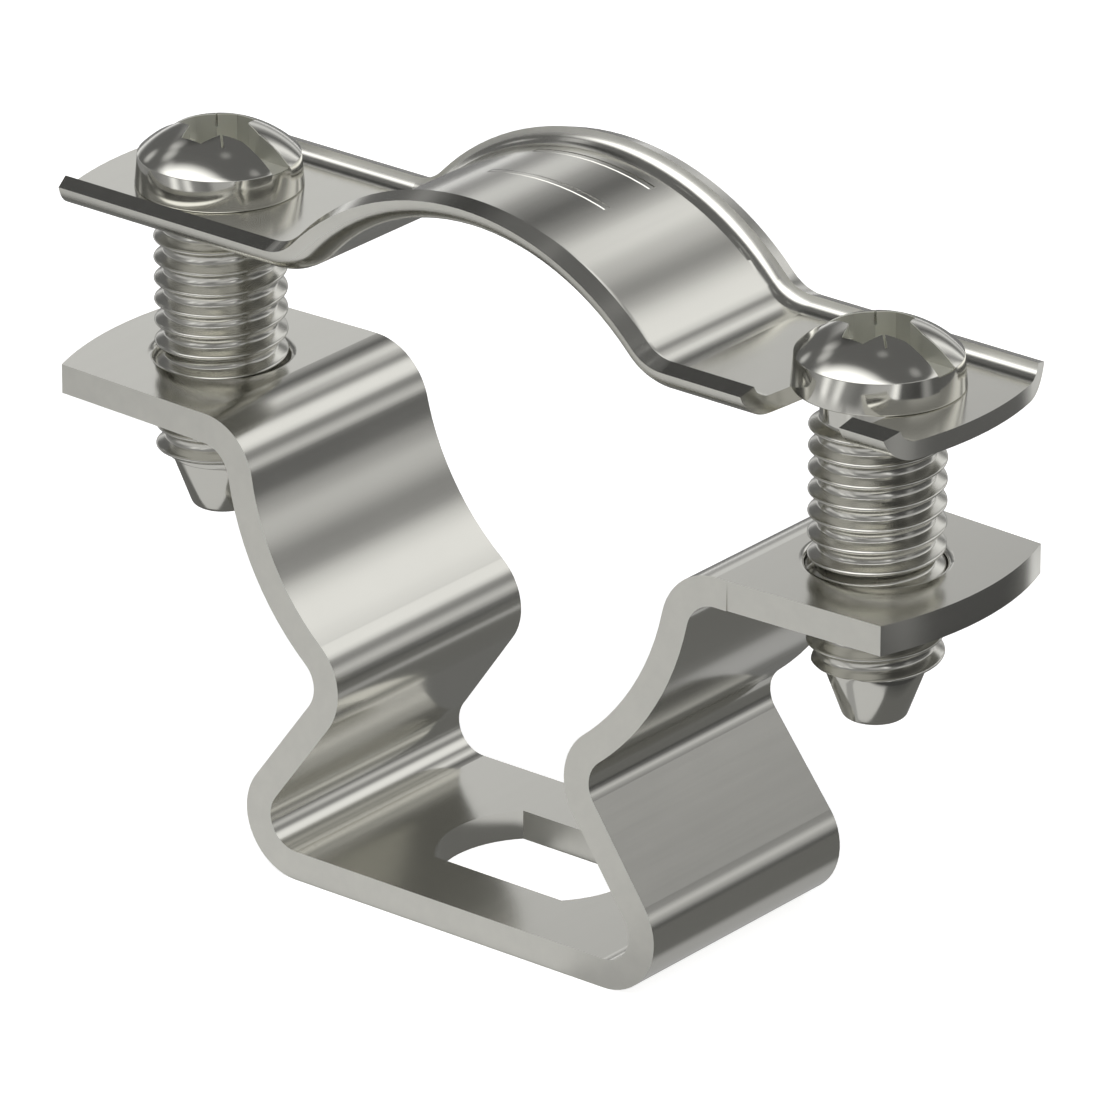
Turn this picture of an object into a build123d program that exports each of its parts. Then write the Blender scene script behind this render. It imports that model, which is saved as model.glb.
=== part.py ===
from build123d import *
import math
import os

# Saddle clamp for a 24 mm pipe: a bent strip bracket, a dished saddle strap over it and two
# M6 shoulder screws. X runs along the clamp, -Y faces the viewer, Z is up from the base.
# All sizes are in millimetres.

# Lower bracket: a strip of constant thickness bent into wings, pipe seat, waist and foot.
# Its width is even over the foot, then narrows steadily up to the wings and out to their tips.
strip_t = 1.39
strip_foot_width = 13.24
strip_bend_width = 11.98
strip_tip_width = 11.34
taper_start_z = 4.0
bracket_height = 20.87
seat_r = 11.76
seat_z = 20.75
shoulder_r = 2.21
waist_r = 2.1
waist_angle = 50.8
foot_bend_r = 2.14
foot_bend_x = 8.77

# Plan of both wings: sharp corners joined by a shallow arc
wing_taper_x = 15.0
tip_corner_x = 23.0
tip_arc_r = 16.0

# Foot slot: straight sides with shallow arc ends
slot_width = 6.26
slot_side_length = 7.26
slot_arc_rise = 1.22

# Screws and their seats; the neck under the head fits the hole and the swing slot of the strap
screw_x = 18.45
thread_r = 3.0
thread_clearance = 0.05
lip_round = 0.3
neck_r = 2.52
neck_clearance = 0.08
neck_to_thread = 0.5
thread_lead_in = 0.45
head_r = 3.8
head_top_r = 3.66
head_side = 1.45
head_dome = 1.5
head_slot_width = 1.2
head_slot_drop = 0.08
cross_tip_width = 1.14
cross_root = 0.93
cross_reach = 1.9
cross_depth = 0.9
cone_top_z = 15.76
cone_r = 2.2
tip_z = 13.56
tip_r = 1.39
tip_chamfer = 0.2
swing_cut = 12.0

# Upper saddle strap: thin sheet with its long edges curled up
sheet_t = 0.84
wing_gap = 7.27
curl_outer_r = 1.74
curl_turn_angle = 72.0
arch_top_r = 12.77
arch_z = 20.94
arch_bend_r = 2.55
rim_half_width = 5.65

# Heights and offsets that follow from the sizes above
half_t = strip_t / 2
saddle_bottom = bracket_height + wing_gap
saddle_top = saddle_bottom + sheet_t
tip_sagitta = tip_arc_r - math.sqrt(tip_arc_r**2 - (strip_tip_width / 2) ** 2)
blank_half = tip_corner_x + tip_sagitta + 1


# One half of the bracket outline at a depth below its seat face; side is 1 right, -1 left
def bracket_half(side, depth):
    d = half_t - depth
    seat = seat_r + half_t
    zt = bracket_height - half_t - shoulder_r
    xt = math.sqrt((seat + shoulder_r) ** 2 - (zt - seat_z) ** 2)
    wa = math.radians(waist_angle)
    wx = (seat + waist_r) * math.cos(wa)
    wz = seat_z - (seat + waist_r) * math.sin(wa)
    fz = half_t + foot_bend_r
    reach = math.hypot(wx - foot_bend_x, wz - fz)
    lean = math.atan2(wz - fz, wx - foot_bend_x)
    n = lean - math.acos((foot_bend_r + waist_r) / reach)
    seat_end = math.degrees(math.atan2(zt - seat_z, xt))
    top_start = math.degrees(math.atan2(seat_z - zt, -xt)) % 360
    flank = math.degrees(n)
    fr = foot_bend_r - d
    wr = waist_r + d

    def arc(cx, cz, r, start_angle, turn_angle):
        if side < 0:
            start_angle = 180 - start_angle
            turn_angle = -turn_angle
        CenterArc((side * cx, cz), r, start_angle, turn_angle)

    def p(x, z):
        return (side * x, z)

    Line(p(0, half_t + d), p(foot_bend_x, half_t + d))
    arc(foot_bend_x, fz, fr, -90, flank + 90)
    Line(
        p(foot_bend_x + fr * math.cos(n), fz + fr * math.sin(n)),
        p(wx - wr * math.cos(n), wz - wr * math.sin(n)),
    )
    arc(wx, wz, wr, flank + 180, -(flank + waist_angle))
    arc(0, seat_z, seat - d, -waist_angle, seat_end + waist_angle)
    arc(xt, zt, shoulder_r + d, top_start, 90 - top_start)
    Line(p(xt, bracket_height - depth), p(blank_half, bracket_height - depth))


with BuildPart() as lower_bracket:
    with BuildSketch(Plane.XZ):
        with BuildLine():
            for depth in (0, strip_t):
                bracket_half(1, depth)
                bracket_half(-1, depth)
            for side in (1, -1):
                Line(
                    (side * blank_half, bracket_height),
                    (side * blank_half, bracket_height - strip_t),
                )
        make_face()
    extrude(amount=strip_foot_width, both=True)
    # the strip narrows from above the foot up to the wings
    with BuildSketch(Plane.YZ):
        with BuildLine():
            for side in (1, -1):
                Polyline(
                    (0, -1),
                    (side * strip_foot_width / 2, -1),
                    (side * strip_foot_width / 2, taper_start_z),
                    (side * strip_bend_width / 2, bracket_height),
                    (side * strip_bend_width / 2, bracket_height + 1),
                    (0, bracket_height + 1),
                )
        make_face()
    extrude(amount=blank_half + 1, both=True, mode=Mode.INTERSECT)
    # wings narrowing to their tips, with shallow arcs for ends
    with BuildSketch(Plane.XY.offset(-1)):
        with BuildLine():
            for side in (1, -1):
                ThreePointArc(
                    (side * tip_corner_x, -strip_tip_width / 2),
                    (side * (tip_corner_x + tip_sagitta), 0),
                    (side * tip_corner_x, strip_tip_width / 2),
                )
                for edge in (1, -1):
                    Polyline(
                        (side * tip_corner_x, edge * strip_tip_width / 2),
                        (side * wing_taper_x, edge * strip_bend_width / 2),
                        (side * wing_taper_x, edge * strip_foot_width),
                        (0, edge * strip_foot_width),
                    )
        make_face()
    extrude(amount=bracket_height + 2, mode=Mode.INTERSECT)
    # fastening slot in the foot
    with BuildSketch(Plane.XY.offset(-1)):
        with BuildLine():
            for side in (1, -1):
                ThreePointArc(
                    (side * slot_side_length / 2, -slot_width / 2),
                    (side * (slot_side_length / 2 + slot_arc_rise), 0),
                    (side * slot_side_length / 2, slot_width / 2),
                )
                Line(
                    (-slot_side_length / 2, side * slot_width / 2),
                    (slot_side_length / 2, side * slot_width / 2),
                )
        make_face()
    extrude(amount=strip_t + 2, mode=Mode.SUBTRACT)
    # screw holes with softly rounded mouths
    with Locations((screw_x, 0, bracket_height), (-screw_x, 0, bracket_height)):
        Hole(radius=thread_r + thread_clearance, depth=strip_t)
    mouths = lower_bracket.edges().filter_by(GeomType.CIRCLE).filter_by(
        lambda e: abs(e.radius - thread_r - thread_clearance) < 0.001
        and abs(e.center().Z - bracket_height) < 0.001
    )
    fillet(mouths, radius=lip_round)

lower_bracket.part.label = "lower_bracket"


# Cross-section of the dished sheet across its width, with its upper face at height 0
def dish_section(base):
    turn = math.radians(curl_turn_angle)
    inner = curl_outer_r - sheet_t
    # rim_half_width is reached by the outer corner of the cut edge
    cx = rim_half_width - curl_outer_r * math.sin(turn)
    cz = base + inner
    Line((-cx, base), (cx, base))
    Line((-cx, base - sheet_t), (cx, base - sheet_t))
    for side in (1, -1):
        CenterArc((side * cx, cz), inner, -90, side * curl_turn_angle)
        CenterArc((side * cx, cz), curl_outer_r, -90, side * curl_turn_angle)
        Line(
            (side * (cx + inner * math.sin(turn)), cz - inner * math.cos(turn)),
            (side * (cx + curl_outer_r * math.sin(turn)), cz - curl_outer_r * math.cos(turn)),
        )


bend_z = saddle_top + arch_bend_r
bend_x = math.sqrt((arch_top_r + arch_bend_r) ** 2 - (bend_z - arch_z) ** 2)
bend_angle = math.degrees(math.atan2(bend_z - arch_z, bend_x))
arch_sweep = 180 - 2 * bend_angle
arch_crown = arch_z + arch_top_r

with BuildPart() as saddle_strap:
    # arch over the pipe
    with BuildSketch(Plane.YZ):
        with BuildLine():
            dish_section(arch_crown)
        make_face()
    revolve(axis=Axis((0, 0, arch_z), (0, 1, 0)), revolution_arc=arch_sweep / 2)
    with BuildSketch(Plane.YZ):
        with BuildLine():
            dish_section(arch_crown)
        make_face()
    revolve(axis=Axis((0, 0, arch_z), (0, -1, 0)), revolution_arc=arch_sweep / 2)
    # bends from the arch out to the wings
    for side in (1, -1):
        with BuildSketch(Plane.YZ.offset(side * bend_x)):
            with BuildLine():
                dish_section(saddle_top)
            make_face()
        revolve(
            axis=Axis((side * bend_x, 0, bend_z), (0, side, 0)), revolution_arc=90 - bend_angle
        )
        with BuildSketch(Plane.YZ.offset(side * bend_x)):
            with BuildLine():
                dish_section(saddle_top)
            make_face()
        extrude(amount=side * (blank_half - bend_x))
    # rounded ends of the wings
    with BuildSketch(Plane.XY.offset(saddle_bottom - 1)):
        with BuildLine():
            for side in (1, -1):
                ThreePointArc(
                    (side * tip_corner_x, -strip_tip_width / 2),
                    (side * (tip_corner_x + tip_sagitta), 0),
                    (side * tip_corner_x, strip_tip_width / 2),
                )
                Line(
                    (-tip_corner_x, side * strip_tip_width / 2),
                    (tip_corner_x, side * strip_tip_width / 2),
                )
        make_face()
    extrude(amount=arch_crown, mode=Mode.INTERSECT)
    # hole for the left screw, and a slot along its swing that opens at the front for the right
    with BuildSketch(Plane.XY.offset(saddle_bottom - 1)):
        with Locations((-screw_x, 0)):
            Circle(neck_r + neck_clearance)
        with BuildLine() as swing:
            CenterArc((-screw_x, 0), 2 * screw_x, -swing_cut, swing_cut)
        SlotArc(swing.edge(), 2 * (neck_r + neck_clearance))
    extrude(amount=sheet_t + curl_outer_r + 1, mode=Mode.SUBTRACT)

saddle_strap.part.label = "saddle_strap"

head_bottom = saddle_top
ring_z = head_bottom + head_side
crown_z = ring_z + head_dome
thread_top = saddle_bottom - neck_to_thread
neck_step = thread_r - neck_r

with BuildPart() as screw:
    with BuildSketch(Plane.XZ):
        with BuildLine():
            Polyline(
                (0, crown_z),
                (0, tip_z),
                (tip_r, tip_z),
                (cone_r, cone_top_z),
                (thread_r - thread_lead_in, cone_top_z),
                (thread_r, cone_top_z + thread_lead_in),
                (thread_r, thread_top - neck_step),
                (neck_r, thread_top),
                (neck_r, head_bottom),
                (head_r, head_bottom),
                (head_top_r, ring_z),
            )
            dome_r = (head_top_r**2 + head_dome**2) / (2 * head_dome)
            rise = math.asin(head_top_r / dome_r) / 2
            ThreePointArc(
                (head_top_r, ring_z),
                (dome_r * math.sin(rise), crown_z - dome_r * (1 - math.cos(rise))),
                (0, crown_z),
            )
        make_face()
    revolve(axis=Axis.Z)
    tip_edge = screw.edges().filter_by(GeomType.CIRCLE).sort_by(Axis.Z)[0]
    chamfer(tip_edge, length=tip_chamfer)
    # driving slot right across the dome, down to just under its edge
    with BuildSketch(Plane.XY.offset(ring_z - head_slot_drop)):
        Rectangle(3 * head_r, head_slot_width)
    extrude(amount=head_dome + 1, mode=Mode.SUBTRACT)
    # deeper cross recess in the middle, its four arms tapered outward
    with BuildSketch(Plane.XY.offset(ring_z - cross_depth)):
        with BuildLine():
            tip = cross_tip_width / 2
            Polyline(
                (cross_root, cross_root),
                (tip, cross_reach),
                (-tip, cross_reach),
                (-cross_root, cross_root),
                (-cross_reach, tip),
                (-cross_reach, -tip),
                (-cross_root, -cross_root),
                (-tip, -cross_reach),
                (tip, -cross_reach),
                (cross_root, -cross_root),
                (cross_reach, -tip),
                (cross_reach, tip),
                close=True,
            )
        make_face()
    extrude(amount=head_dome + cross_depth + 1, mode=Mode.SUBTRACT)

with BuildPart() as left_screw:
    add(screw.part.moved(Location((-screw_x, 0, 0))))
left_screw.part.label = "left_screw"

with BuildPart() as right_screw:
    add(screw.part.moved(Location((screw_x, 0, 0))))
right_screw.part.label = "right_screw"

os.makedirs("parts", exist_ok=True)
export_step(lower_bracket.part, "parts/lower_bracket.step")
export_step(saddle_strap.part, "parts/saddle_strap.step")
export_step(left_screw.part, "parts/left_screw.step")
export_step(right_screw.part, "parts/right_screw.step")
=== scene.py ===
import bmesh
import bpy
import math
from mathutils import Matrix, Vector


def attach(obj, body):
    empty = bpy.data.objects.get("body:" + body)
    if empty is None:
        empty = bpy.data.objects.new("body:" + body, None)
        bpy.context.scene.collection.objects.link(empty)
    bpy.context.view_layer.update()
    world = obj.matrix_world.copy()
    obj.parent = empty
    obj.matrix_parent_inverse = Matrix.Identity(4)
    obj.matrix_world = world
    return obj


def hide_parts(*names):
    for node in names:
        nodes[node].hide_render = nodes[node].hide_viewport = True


mm = 0.001
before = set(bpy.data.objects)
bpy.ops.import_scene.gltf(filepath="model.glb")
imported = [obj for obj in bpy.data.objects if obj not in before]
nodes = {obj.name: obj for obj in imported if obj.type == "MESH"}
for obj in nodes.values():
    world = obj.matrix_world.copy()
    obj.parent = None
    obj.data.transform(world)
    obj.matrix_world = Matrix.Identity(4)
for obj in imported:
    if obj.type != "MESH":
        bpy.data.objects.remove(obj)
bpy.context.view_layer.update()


class Val:
    # a number or colour socket of a node tree; arithmetic on it adds the nodes that work it out
    def __init__(self, look, socket):
        self.look = look
        self.socket = socket

    def do(self, operation, *others):
        return self.look.math(operation, self, *others)

    def __add__(self, other):
        return self.do("ADD", other)

    __radd__ = __add__

    def __mul__(self, other):
        return self.do("MULTIPLY", other)

    __rmul__ = __mul__

    def __sub__(self, other):
        return self.do("SUBTRACT", other)

    def __rsub__(self, other):
        return self.look.math("SUBTRACT", other, self)

    def __truediv__(self, other):
        return self.do("DIVIDE", other)

    def __rtruediv__(self, other):
        return self.look.math("DIVIDE", other, self)

    def clamp(self, low=0.0, high=1.0):
        return self.do("MAXIMUM", low).do("MINIMUM", high)

    def step(self, start, end):
        return ((self - start) / (end - start)).clamp()


class Look:
    # a procedural material: one shader and the nodes that feed it
    def __init__(self, name, **constants):
        self.material = bpy.data.materials.new(name)
        self.material.use_nodes = True
        self.tree = self.material.node_tree
        self.shader = self.tree.nodes["Principled BSDF"]
        for key, value in constants.items():
            self.shader.inputs[key].default_value = value

    def node(self, kind, inputs=(), out=0, **settings):
        made = self.tree.nodes.new(kind)
        for key, value in settings.items():
            setattr(made, key, value)
        for key, value in dict(inputs).items():
            self.plug(value, made.inputs[key])
        return Val(self, made.outputs[out])

    def plug(self, value, socket):
        if isinstance(value, Val):
            self.tree.links.new(value.socket, socket)
        else:
            socket.default_value = value

    def math(self, operation, *values):
        return self.node("ShaderNodeMath", list(enumerate(values)), operation=operation)

    def point(self):
        return self.node("ShaderNodeTexCoord", out="Object")

    def split(self, vector):
        parts = self.node("ShaderNodeSeparateXYZ", {0: vector})
        outs = parts.socket.node.outputs
        return [Val(self, outs[i]) for i in range(3)]

    def stretched(self, vector, scale):
        return self.node("ShaderNodeMapping", {"Vector": vector, "Scale": scale})

    def noise(self, vector, scale, detail=3.0, roughness=0.5):
        return self.node(
            "ShaderNodeTexNoise",
            {"Vector": vector, "Scale": scale, "Detail": detail, "Roughness": roughness},
        )

    def blend(self, factor, first, second):
        made = self.tree.nodes.new("ShaderNodeMix")
        made.data_type = "RGBA"
        self.plug(factor, made.inputs["Factor"])
        self.plug(first, made.inputs["A"])
        self.plug(second, made.inputs["B"])
        return Val(self, made.outputs["Result"])

    def ramp(self, value, stops, top):
        # grey ramp with eased steps; brightness values are written as shares of the top value
        made = self.node("ShaderNodeValToRGB", {0: value})
        ramp = made.socket.node.color_ramp
        ramp.interpolation = "EASE"
        while len(ramp.elements) < len(stops):
            ramp.elements.new(0.5)
        for element, (place, brightness) in zip(ramp.elements, stops):
            element.position = place
            element.color = (brightness / top, brightness / top, brightness / top, 1)
        return made

    def bump(self, height, strength, distance, under=None):
        inputs = {"Height": height, "Strength": strength, "Distance": distance}
        if under:
            inputs["Normal"] = under
        return self.node("ShaderNodeBump", inputs)

    def set(self, **inputs):
        for key, value in inputs.items():
            self.plug(value, self.shader.inputs[key.replace("_", " ")])
        return self.material


# finish of the rolled steel, changeable by the user
steel = {
    "tint": (0.70, 0.692, 0.645, 1.0),
    "cutTint": (0.76, 0.752, 0.70, 1.0),
    "cutFrom": (0.75, 0.9),
    "roughness": 0.13,
    "cutRoughness": 0.45,
    "grainStretch": (60.0, 2.0, 60.0),
    "grainScale": 40.0,
    "mottleScale": 260.0,
    "shearScale": 900.0,
    "grainDepth": 0.0004 * mm,
}


def ruledLines(look, point, lines):
    # height of two plain raised lines along the top of the arch
    x, y, z = look.split(point)
    reach = (lines["halfLength"] * mm - (x - lines["middleX"] * mm).do("ABSOLUTE"))
    above = lines["above"] * mm
    ends = reach.step(0.0, lines["endSlope"] * mm) * z.step(above, above + lines["lowSlope"] * mm)
    height = 0.0
    for place in lines["y"]:
        near = lines["halfWidth"] * mm - (y - place * mm).do("ABSOLUTE")
        height = height + near.step(0.0, lines["slope"] * mm) * ends
    return height


def sheetSteel(name, values, lines=None):
    look = Look(name, Metallic=1.0)
    point = look.point()
    grain = look.noise(look.stretched(point, values["grainStretch"]), values["grainScale"], 2.0, 0.6)
    mottle = look.noise(point, values["mottleScale"], 2.0, 0.55)
    # faces that look along the pipe are cut edges, rougher than the rolled sheet
    facing = look.node("ShaderNodeTexCoord", out="Normal")
    cut = look.split(facing)[1].do("ABSOLUTE").step(*values["cutFrom"])
    shear = look.noise(point, values["shearScale"], 2.0, 0.6)
    shade = 0.96 + 0.05 * mottle + 0.03 * grain
    sheet = look.node(
        "ShaderNodeVectorMath", {0: values["tint"][:3], "Scale": shade}, operation="SCALE"
    )
    edge = look.node(
        "ShaderNodeVectorMath", {0: values["cutTint"][:3], "Scale": 0.92 + 0.16 * shear},
        operation="SCALE",
    )
    rough = values["roughness"] + 0.05 * grain + 0.02 * mottle
    edgeRough = values["cutRoughness"] + 0.12 * shear
    height = grain * (1.0 - cut) + 2.0 * shear * cut
    surface = look.bump(height, 0.5, values["grainDepth"])
    if lines:
        surface = look.bump(ruledLines(look, point, lines), 1.0, lines["rise"] * mm, surface)
    return look.set(
        Base_Color=look.blend(cut, sheet, edge),
        Roughness=rough * (1.0 - cut) + edgeRough * cut,
        Normal=surface,
    )


def screwSteel(name, values):
    look = Look(name, Metallic=1.0)
    point = look.point()
    mottle = look.noise(point, values["mottleScale"], 2.0, 0.55)
    turned = look.noise(look.stretched(point, values["turnedStretch"]), 1.0, 1.0, 0.5)
    tint = look.node(
        "ShaderNodeVectorMath", {0: values["tint"][:3], "Scale": 0.96 + 0.06 * mottle},
        operation="SCALE",
    )
    # the pressed recess is duller: what lies below the dome and inside its ring
    x, y, z = look.split(point)
    fromAxis = x.do("ABSOLUTE") - values["x"] * mm
    outward = (fromAxis * fromAxis + y * y).do("SQRT")
    sphere = domeRadius(values) * mm
    dome = values["crownZ"] * mm - sphere + (sphere**2 - outward * outward).do("SQRT")
    depth = dome - z
    below = depth.step(*[size * mm for size in values["pressedBelow"]])
    # the top band of the recess wall, which gets a painted highlight
    rim = (values["rimDepth"] * mm - depth).step(0.0, values["rimSoft"] * mm)
    inward = values["ringRadius"] * mm - outward
    inside = inward.step(*[size * mm for size in values["pressedInside"]])
    floor = values["crossFloor"] * mm
    pressed = below * inside * z.step(floor - values["floorSoft"] * mm, floor)
    # painted light and shade: its walls are painted a little lighter or darker by the way they face,
    # and its rim gets a painted highlight
    facing = look.split(look.node("ShaderNodeTexCoord", out="Normal"))
    paintedFacetShade = 0.66 + 0.38 * facing[0].do("MAXIMUM", 0.0) + 0.30 * facing[2].do("MAXIMUM", 0.0)
    paintedWall = look.node(
        "ShaderNodeVectorMath", {0: values["pressedTint"][:3], "Scale": paintedFacetShade}, operation="SCALE"
    )
    paintedWall = look.blend(rim, paintedWall, values["rimHighlightTint"])
    # the rolled thread is less smooth than the head and the cone
    low, high, soft = values["threadBottom"], values["threadTop"], values["threadSoft"]
    threaded = z.step(low * mm, (low + soft) * mm) * (high * mm - z).step(0.0, soft * mm)
    rough = values["screwRoughness"] + 0.05 * mottle + 0.03 * turned
    rough = rough + values["threadRoughness"] * threaded
    # the painted facet shade and the painted rim highlight go into the recess colour; the rim is also
    # made less metallic so its painted highlight shows bright
    return look.set(
        Base_Color=look.blend(pressed, tint, paintedWall),
        Metallic=1.0 - (values["pressedDull"] + 0.4 * rim) * pressed,
        Roughness=rough * (1.0 - pressed) + values["pressedRoughness"] * pressed,
        Normal=look.bump(turned, *values["turnedBump"]),
    )


# two plain ruled lines raised on the arch, in millimetres, changeable by the user
lines = {
    "y": (0.1, 3.2),
    "middleX": 0.3,
    "halfLength": 3.3,
    "halfWidth": 0.21,
    "slope": 0.09,
    "endSlope": 0.08,
    "lowSlope": 0.1,
    "rise": 0.09,
    "above": 31.5,
}


# sizes of the screws, in millimetres, changeable by the user
screws = {
    "x": 18.45,
    "threadRadius": 3.0,
    "rootRadius": 2.5,
    "pitch": 1.0,
    "crestZ": {"left_screw": 22.87, "right_screw": 22.5},
    "threadBottom": 16.0,
    "threadTop": 27.62,
    "neckRadius": 2.52,
    "headBottom": 28.98,
    "headRadius": 3.8,
    "ringRadius": 3.66,
    "ringZ": 30.43,
    "crownZ": 31.93,
    "coneTopZ": 15.76,
    "coneRadius": 2.2,
    "tipZ": 13.56,
    "tipRadius": 1.39,
    "tipRounding": 0.3,
    "ringRounding": 0.05,
    "footRounding": 0.08,
    "neckStep": 0.05,
    "neckIntoHead": 0.2,
    "runOutSlope": {"bottom": 2.2, "top": 2.0},
    "slotWidth": 1.2,
    "slotFloor": 30.35,
    "crossTip": 0.57,
    "crossRoot": 0.93,
    "crossReach": 1.9,
    "crossFloor": 29.53,
    "grooveWidth": 0.11,
    "grooveReach": 2.15,
    "grooveFloor": 31.1,
    "grooveTurn": -45,
    "columns": 96,
    "rowsPerPitch": 32,
    "domeSteps": 18,
    "smoothBelow": 40,
    "tint": (0.68, 0.672, 0.625, 1.0),
    "mottleScale": 420.0,
    "turnedStretch": (150.0, 150.0, 6000.0),
    "turnedBump": (0.15, 0.0005 * mm),
    "screwRoughness": 0.08,
    "threadRoughness": 0.08,
    "threadSoft": 0.1,
    "pressedTint": (0.86, 0.86, 0.78, 1.0),
    # brighter colour painted on the recess rim as a highlight
    "rimHighlightTint": (0.95, 0.95, 0.90, 1.0),
    "pressedDull": 0.45,
    "pressedRoughness": 0.2,
    "pressedBelow": (0.01, 0.02),
    "pressedInside": (0.05, 0.10),
    "rimDepth": 0.08,
    "rimSoft": 0.03,
    "floorSoft": 0.01,
}


def spun(profile, columns):
    # closed body of revolution about Z from a line of (radius, height) points in millimetres
    made = bmesh.new()
    verts = [made.verts.new((r * mm, 0, z * mm)) for r, z in profile]
    edges = [made.edges.new(pair) for pair in zip(verts, verts[1:])]
    bmesh.ops.spin(
        made, geom=verts + edges, cent=(0, 0, 0), axis=(0, 0, 1), angle=math.tau,
        steps=columns, use_merge=True, use_duplicate=False,
    )
    bmesh.ops.remove_doubles(made, verts=made.verts, dist=1e-7)
    bmesh.ops.recalc_face_normals(made, faces=made.faces)
    return made


def roundedCorner(before, corner, after, radius, steps):
    # points of a small arc that rounds a corner of a profile
    b, c, a = Vector(before), Vector(corner), Vector(after)
    u, v = (b - c).normalized(), (a - c).normalized()
    half = u.angle(v) / 2
    reach = radius / math.tan(half)
    centre = c + (u + v).normalized() * (radius / math.sin(half))
    start, end = c + u * reach - centre, c + v * reach - centre
    points = []
    for i in range(steps + 1):
        spoke = start.slerp(end, i / steps).normalized() * radius
        points.append(tuple(centre + spoke))
    return points


def shankProfile(s):
    middle, tip = (0.0, s["tipZ"]), (s["tipRadius"], s["tipZ"])
    coneTop = (s["coneRadius"], s["coneTopZ"])
    points = [middle, *roundedCorner(middle, tip, coneTop, s["tipRounding"], 5), coneTop]
    rows = round((s["threadTop"] - s["threadBottom"]) * s["rowsPerPitch"] / s["pitch"])
    for i in range(rows + 1):
        z = s["threadBottom"] + (s["threadTop"] - s["threadBottom"]) * i / rows
        points.append((s["threadRadius"], z))
    neckEnd = s["headBottom"] + s["neckIntoHead"]
    points.append((s["neckRadius"], s["threadTop"] + s["neckStep"]))
    points.append((s["neckRadius"], neckEnd))
    points.append((0.0, neckEnd))
    return points


def threadHeight(phase):
    # share of the full thread depth at a phase of the pitch: thin crest at 0, hollow root at 0.5
    crest, root, fall, rise = 0.08, 0.30, 0.12, 0.08
    p = abs((phase + 0.5) % 1.0 - 0.5)
    if p < crest:
        return 1.0 - fall * (p / crest) ** 2
    if p < root:
        return rise + (1.0 - fall - rise) * (root - p) / (root - crest)
    return rise * ((0.5 - p) / (0.5 - root)) ** 2


def cutThread(made, s, crest):
    depth = s["threadRadius"] - s["rootRadius"]
    for v in made.verts:
        x, y, z = v.co / mm
        if z < s["threadBottom"] - 1e-4 or z > s["threadTop"] + 1e-4:
            continue
        turn = math.atan2(y, x) / math.tau
        radius = s["rootRadius"] + depth * threadHeight((z - crest) / s["pitch"] - turn)
        fromBottom = s["coneRadius"] + s["runOutSlope"]["bottom"] * (z - s["threadBottom"])
        fromTop = s["neckRadius"] + s["runOutSlope"]["top"] * (s["threadTop"] - z)
        radius = min(radius, fromBottom, fromTop)
        v.co.x = radius * mm * math.cos(turn * math.tau)
        v.co.y = radius * mm * math.sin(turn * math.tau)


def domeRadius(s):
    rise = s["crownZ"] - s["ringZ"]
    return (s["ringRadius"] ** 2 + rise**2) / (2 * rise)


def headProfile(s):
    sphere = domeRadius(s)
    end = math.asin(s["ringRadius"] / sphere)
    dome = []
    for i in range(s["domeSteps"] + 1):
        a = end * i / s["domeSteps"]
        dome.append((sphere * math.sin(a), s["crownZ"] - sphere * (1 - math.cos(a))))
    ring = (s["ringRadius"], s["ringZ"])
    foot = (s["headRadius"], s["headBottom"])
    points = dome[:-1]
    middle = (0.0, s["headBottom"])
    points += roundedCorner(dome[-2], ring, foot, s["ringRounding"], 3)
    points += roundedCorner(ring, foot, middle, s["footRounding"], 3)
    points.append(middle)
    return points


def asObject(made, name):
    mesh = bpy.data.meshes.new(name)
    made.to_mesh(mesh)
    made.free()
    obj = bpy.data.objects.new(name, mesh)
    bpy.context.scene.collection.objects.link(obj)
    return obj


def block(name, low, high):
    made = bmesh.new()
    bmesh.ops.create_cube(made, size=1.0)
    for v in made.verts:
        v.co = Vector([(l + h) / 2 + c * (h - l) for c, l, h in zip(v.co, low, high)]) * mm
    return asObject(made, name)


def crossBlock(name, s, floor, top):
    # a cross with four arms that taper outward, as the recess of the head has
    tip, root, reach = s["crossTip"], s["crossRoot"], s["crossReach"]
    arm = [(root, -root), (reach, -tip), (reach, tip)]
    plan = []
    for quarter in range(4):
        c, d = [(1, 0), (0, 1), (-1, 0), (0, -1)][quarter]
        plan += [(c * x - d * y, d * x + c * y) for x, y in arm]
    made = bmesh.new()
    face = made.faces.new([made.verts.new(Vector((x, y, floor)) * mm) for x, y in plan])
    raised = bmesh.ops.extrude_face_region(made, geom=[face])
    verts = [item for item in raised["geom"] if isinstance(item, bmesh.types.BMVert)]
    bmesh.ops.translate(made, verts=verts, vec=(0, 0, (top - floor) * mm))
    bmesh.ops.recalc_face_normals(made, faces=made.faces)
    return asObject(made, name)


def grooveBlock(name, s, top):
    # a thin diagonal blade that leaves the small mark between two arms of the cross
    made = bmesh.new()
    bmesh.ops.create_cube(made, size=1.0)
    reach, floor = s["grooveReach"], s["grooveFloor"]
    for v in made.verts:
        size = (2 * reach, s["grooveWidth"], top - floor)
        v.co = Vector([a * b for a, b in zip(v.co, size)]) + Vector((0, 0, (top + floor) / 2))
        v.co *= mm
    turn = Matrix.Rotation(math.radians(s["grooveTurn"]), 3, "Z")
    bmesh.ops.rotate(made, verts=made.verts, cent=(0, 0, 0), matrix=turn)
    return asObject(made, name)


def carve(obj, cutters):
    # takes the cutters out of the object and keeps the result as its own mesh
    for cutter in cutters:
        cut = obj.modifiers.new("cut", "BOOLEAN")
        cut.operation = "DIFFERENCE"
        cut.solver = "EXACT"
        cut.object = cutter
    graph = bpy.context.evaluated_depsgraph_get()
    mesh = bpy.data.meshes.new_from_object(obj.evaluated_get(graph))
    obj.modifiers.clear()
    obj.data = mesh
    for cutter in cutters:
        bpy.data.objects.remove(cutter)


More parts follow.
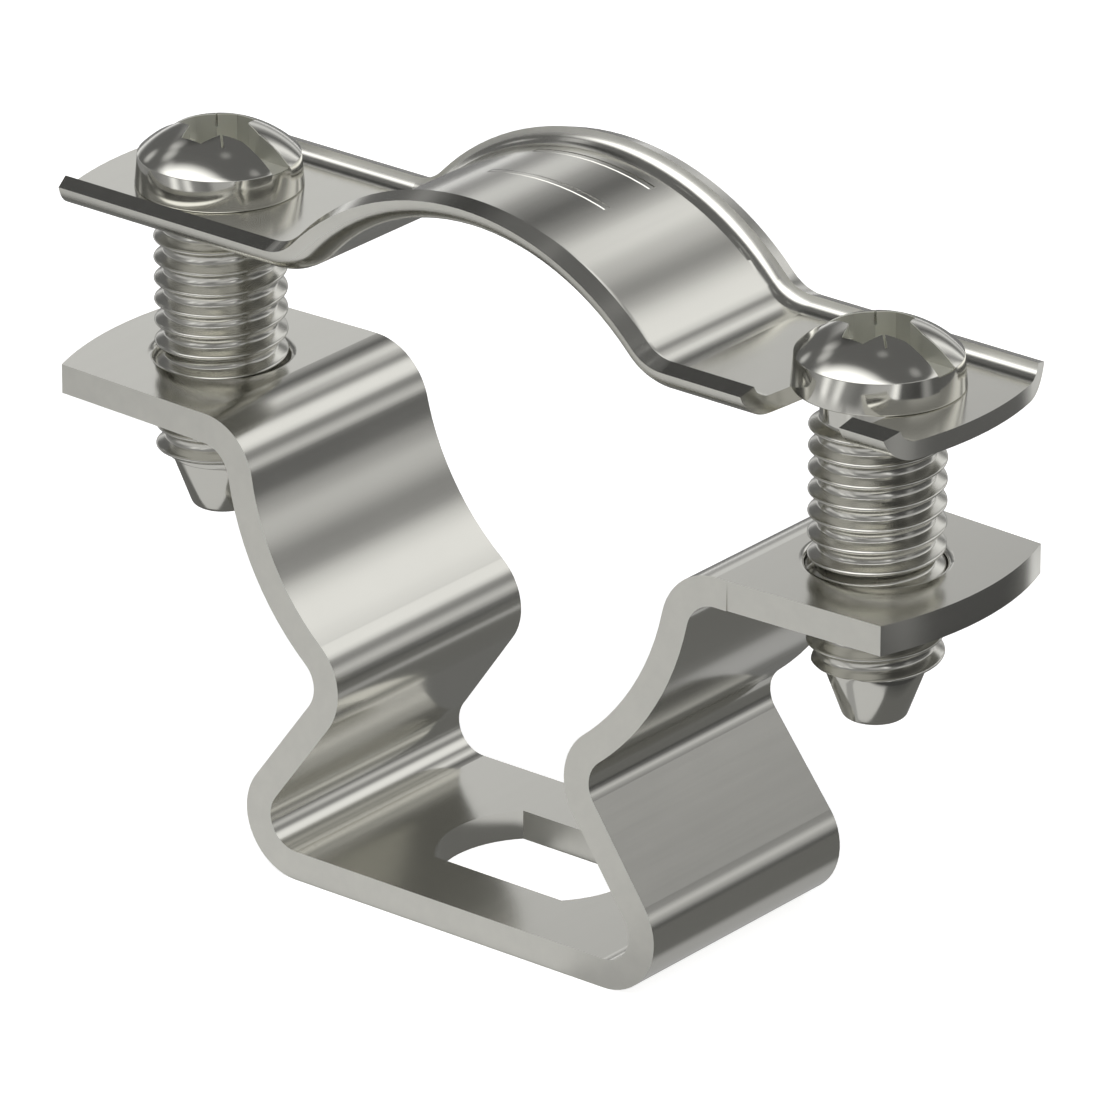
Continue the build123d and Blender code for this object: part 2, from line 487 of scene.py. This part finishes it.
def smoothFaces(mesh, degrees):
    made = bmesh.new()
    made.from_mesh(mesh)
    for face in made.faces:
        face.smooth = True
    for edge in made.edges:
        if len(edge.link_faces) == 2:
            edge.smooth = edge.calc_face_angle(0) < math.radians(degrees)
    made.to_mesh(mesh)
    made.free()


def makeScrew(node, body, side, s, finish):
    shank = spun(shankProfile(s), s["columns"])
    cutThread(shank, s, s["crestZ"][node])
    head = asObject(spun(headProfile(s), s["columns"]), node + "Head")
    half = s["slotWidth"] / 2
    above = s["crownZ"] + 1
    past = s["headRadius"] + 2
    carve(head, [
        block("slotCut", (-past, -half, s["slotFloor"]), (past, half, above)),
        crossBlock("crossCut", s, s["crossFloor"], above),
        grooveBlock("grooveCut", s, above),
    ])
    whole = bmesh.new()
    whole.from_mesh(head.data)
    bpy.data.objects.remove(head)
    part = bpy.data.meshes.new("shank")
    shank.to_mesh(part)
    shank.free()
    whole.from_mesh(part)
    bmesh.ops.translate(whole, verts=whole.verts, vec=(side * s["x"] * mm, 0, 0))
    obj = asObject(whole, node + "Look")
    smoothFaces(obj.data, s["smoothBelow"])
    obj.data.materials.append(finish)
    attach(obj, body)
    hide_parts(node)


bracketFinish = sheetSteel("rolledStrip", steel)
strapFinish = sheetSteel("rolledSheet", steel, lines)
for name, finish in (("lower_bracket", bracketFinish), ("saddle_strap", strapFinish)):
    mesh = nodes[name].data
    mesh.materials.clear()
    mesh.materials.append(finish)
print("bracket and strap finished")

screwFinish = screwSteel("turnedSteel", screws)
makeScrew("left_screw", "screw_left", -1, screws, screwFinish)
makeScrew("right_screw", "screw_right", 1, screws, screwFinish)
print("screws made")


# stage and lights, changeable by the user; bands and farFloor list an angle and a brightness
stage = {
    "floorColour": (0.90, 0.90, 0.90, 1.0),
    "floorGlow": 0.72,
    "floorBehindInMetal": 0.16,
    "floorFrontInMetal": 0.66,
    "floorFrontEdge": -6.5 * mm,
    "floorEdgeSoft": 0.3 * mm,
    "floorEdgeSpread": (30 * mm, 0.6),
    "floorBesideInMetal": 0.42,
    "besideFrom": (6 * mm, 7 * mm),
    "besideTo": (12.2 * mm, 13 * mm),
    "floorPastEndInMetal": 0.06,
    "pastEndFrom": (32 * mm, 40 * mm),
    "patchBehind": ((23 * mm, 50 * mm), 7 * mm, 4 * mm, 0.9),
    "slotInFloor": (0.9 * mm, 3.5 * mm, 3.1 * mm),
    "slotSoft": (0.7 * mm, 0.3 * mm),
    "farFloorFrom": (55 * mm, 85 * mm),
    "farFloor": [
        (-180, 0.30), (-150, 0.24), (-128, 0.40), (-118, 1.25), (-108, 0.45), (-97, 1.10),
        (-89, 0.30), (-70, 0.20), (-58, 0.50), (-36, 0.55), (-28, 1.30), (-21, 0.11), (0, 0.07),
        (9, 0.36), (20, 0.12), (60, 0.14), (67, 0.80), (76, 0.80), (84, 0.20), (150, 0.24),
        (180, 0.30),
    ],
    # azimuth, elevation, half angle and brightness of small windows in the dark upper zone
    "windows": [
        (166, 44, 7, 0.75), (180, 45, 7, 0.7), (172, 25, 6, 0.8), (-163, 48, 6, 0.5),
        (110, 79, 5, 0.4), (34, 61, 6, 0.45), (148, 47, 15, 0.06),
    ],
    "tentRadius": 1.0,
    "softboxGlow": 1.9,
    "softboxFrom": (0.60, 0.72),
    "frontGlow": 0.30,
    "frontTo": (-0.32, -0.16),
    "highBackGlow": 0.15,
    "highBackFrom": (0.71, 0.76),
    "leftFrom": (0.64, 0.78),
    "leftAbove": (0.05, 0.20),
    "bands": [
        (0, 0.33), (5, 0.44), (11, 0.69), (15, 0.64), (27, 0.28), (34, 0.30), (42, 0.86), (48, 1.06),
        (61, 1.06), (66, 0.90), (70, 0.54), (76, 0.29), (88, 0.76), (96, 1.12), (103, 1.02),
        (108, 0.60), (114, 0.32), (123, 0.12), (128, 0.20), (137, 0.36), (145, 0.74), (152, 0.80),
        (162, 0.40), (168, 0.38), (176, 1.00), (180, 1.00),
    ],
}


def grey(value):
    return (value, value, value, 1.0)


def floorPlane():
    made = bmesh.new()
    bmesh.ops.create_circle(
        made, cap_ends=True, segments=96, radius=stage["tentRadius"] * 0.98
    )
    floor = asObject(made, "floor")
    look = Look("paleFloor", Roughness=0.9, Metallic=0.0)
    point = look.point()
    cloud = look.noise(point, 8.0, 2.0)
    path = look.node("ShaderNodeLightPath", out="Is Glossy Ray")
    pale = look.blend(cloud, stage["floorColour"], (0.92, 0.92, 0.92, 1.0))
    x, y, z = look.split(point)
    # metal sees a darker floor behind the object than in front of it, and streaks far out
    dim, bright = stage["floorBehindInMetal"], stage["floorFrontInMetal"]
    spreadFrom, spread = stage["floorEdgeSpread"]
    softness = stage["floorEdgeSoft"] + spread * (x.do("ABSOLUTE") - spreadFrom).do("MAXIMUM", 0.0)
    across = ((stage["floorFrontEdge"] - y) / softness).clamp()
    near = look.blend(across, (dim, dim, dim * 0.97, 1.0), grey(bright))
    under = x.step(*stage["besideFrom"]) * (1.0 - x.step(*stage["besideTo"]))
    near = look.blend(under, near, grey(stage["floorBesideInMetal"]))
    near = look.blend(x.step(*stage["pastEndFrom"]), near, grey(stage["floorPastEndInMetal"]))
    (middleX, middleY), half, soft, value = stage["patchBehind"]
    patch = (half - (x - middleX).do("ABSOLUTE")).step(0.0, soft)
    patch = patch * (half - (y - middleY).do("ABSOLUTE")).step(0.0, soft)
    near = look.blend(patch, near, grey(value))
    turn = look.math("ARCTAN2", y, x) / math.tau + 0.5
    far = look.ramp(turn, [((a + 180) / 360, value) for a, value in stage["farFloor"]], 1.0)
    outward = (x * x + y * y).do("SQRT").step(*stage["farFloorFrom"])
    mirrored = look.blend(outward, near, far)
    # the pale floor shows through the slot of the foot
    slotMiddle, slotX, slotY = stage["slotInFloor"]
    softX, softY = stage["slotSoft"]
    through = (slotX - (x - slotMiddle).do("ABSOLUTE")).step(0.0, softX)
    through = through * (slotY - y.do("ABSOLUTE")).step(0.0, softY)
    mirrored = look.blend(through, mirrored, grey(bright))
    look.set(
        Base_Color=look.blend(path, pale, grey(0.0)),
        Specular_IOR_Level=0.0,
        Emission_Strength=1.0,
        Emission_Color=look.blend(path, grey(stage["floorGlow"]), mirrored),
    )
    floor.data.materials.append(look.material)


def lightTent():
    # a wide ball of cloth with soft light and dark zones inside, white behind the object
    made = bmesh.new()
    bmesh.ops.create_uvsphere(
        made, u_segments=96, v_segments=48, radius=stage["tentRadius"]
    )
    tent = asObject(made, "lightTent")
    look = Look("tentCloth")
    x, y, z = look.split(look.point())
    top = 2.0
    angle = look.math("ARCTAN2", z, x) / math.pi
    ramp = look.ramp(angle, [(degrees / 180, value) for degrees, value in stage["bands"]], top)
    # dark cloth high behind the object and far out to the left
    left = (x * -1.0).step(*stage["leftFrom"]) * z.step(*stage["leftAbove"])
    high = z.step(*stage["highBackFrom"]).do("MAXIMUM", left)
    back = look.blend(high, ramp, grey(stage["highBackGlow"] / top))
    for azimuth, elevation, half, value in stage["windows"]:
        a, e = math.radians(azimuth), math.radians(elevation)
        aim = (math.cos(a) * math.cos(e), math.sin(a) * math.cos(e), math.sin(e))
        along = look.node(
            "ShaderNodeVectorMath", {0: look.point(), 1: aim}, operation="DOT_PRODUCT", out="Value"
        )
        inside = along.step(math.cos(math.radians(half)), 1.0)
        back = look.blend(inside, back, grey(value / top))
    front = look.blend(
        z.step(*stage["softboxFrom"]), grey(stage["frontGlow"] / top), grey(stage["softboxGlow"] / top)
    )
    cloth = look.blend(y.step(*stage["frontTo"]), front, back)
    seen = look.node("ShaderNodeLightPath", out="Is Camera Ray")
    look.set(
        Base_Color=grey(0.0),
        Specular_IOR_Level=0.0,
        Emission_Strength=top,
        Emission_Color=look.blend(seen, cloth, grey(1.0 / top)),
    )
    look.material.cycles.emission_sampling = "NONE"
    tent.data.materials.append(look.material)


def dimWorld():
    world = bpy.data.worlds.new("studio")
    world.use_nodes = True
    world.node_tree.nodes["Background"].inputs["Color"].default_value = (1, 1, 1, 1)
    world.node_tree.nodes["Background"].inputs["Strength"].default_value = 1.0
    bpy.context.scene.world = world


floorPlane()
lightTent()
dimWorld()
print("stage made")


# the photo's viewing angle
camera = {
    "azimuth": 38.97933,
    "elevation": 23.47752,
    "shiftRight": 0.34935,
    "shiftUp": 15.39766,
    "distance": 493.8581,
    "drop": 0.593,
    "lensOverSensor": 10.07253,
}


def makeCamera(c):
    a, e = math.radians(c["azimuth"]), math.radians(c["elevation"])
    back = Vector((math.sin(a) * math.cos(e), -math.cos(a) * math.cos(e), math.sin(e)))
    right = Vector((math.cos(a), math.sin(a), 0))
    up = back.cross(right)
    data = bpy.data.cameras.new("camera")
    data.sensor_width = 36.0
    data.lens = 36.0 * c["lensOverSensor"]
    data.clip_start = 0.01
    data.clip_end = 10
    obj = bpy.data.objects.new("camera", data)
    bpy.context.scene.collection.objects.link(obj)
    place = right * c["shiftRight"] + up * c["shiftUp"] + back * c["distance"]
    obj.location = (place - Vector((0, 0, c["drop"]))) * mm
    obj.rotation_mode = "QUATERNION"
    obj.rotation_quaternion = (-back).to_track_quat("-Z", "Y")
    bpy.context.scene.camera = obj


makeCamera(camera)
bpy.context.scene.view_settings.view_transform = "Standard"
